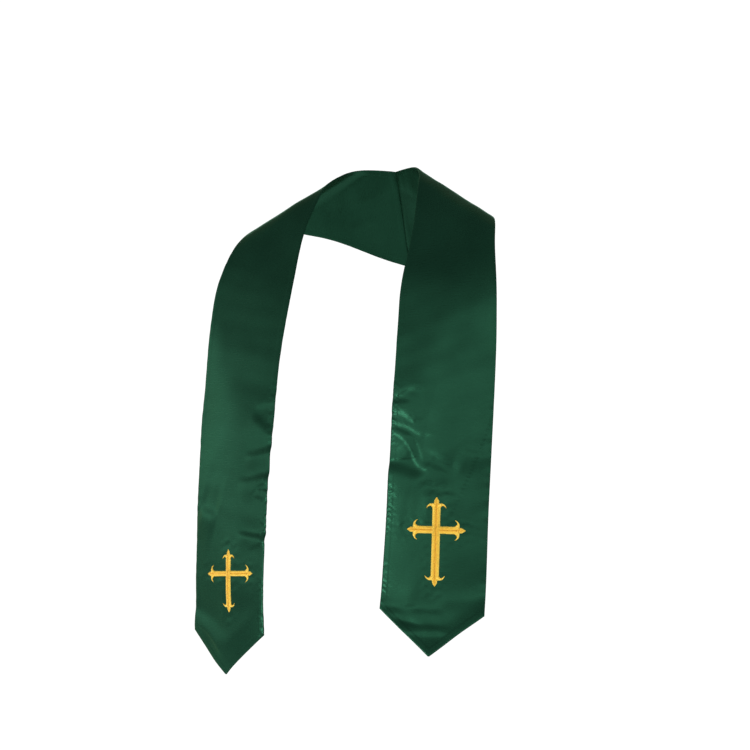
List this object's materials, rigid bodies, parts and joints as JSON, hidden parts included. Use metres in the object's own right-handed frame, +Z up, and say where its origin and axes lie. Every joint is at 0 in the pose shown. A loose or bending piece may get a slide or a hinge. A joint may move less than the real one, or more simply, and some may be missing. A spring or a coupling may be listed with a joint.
{
  "type": "choir stole",
  "caption": "Satin choir stole with pointed ends and a raised embroidered cross on each front panel, in the shape it takes when worn over the shoulders.",
  "frame": {"origin": "nape of the neck: the neck end of the centre-back seam, where the wearer carries the stole", "axes": "+Z up; the wearer looks along -Y; the wearer's left is +X"},
  "size_m": [0.4063, 0.2944, 0.6532],
  "materials": {
    "green_satin": "dark green satin",
    "gold_thread": "gold satin-stitch thread"
  },
  "bodies": {
    "root": {"stole_left_half": "green_satin", "stole_right_half": "green_satin", "cross_left": "gold_thread", "cross_right": "gold_thread"}
  },
  "joints": []
}
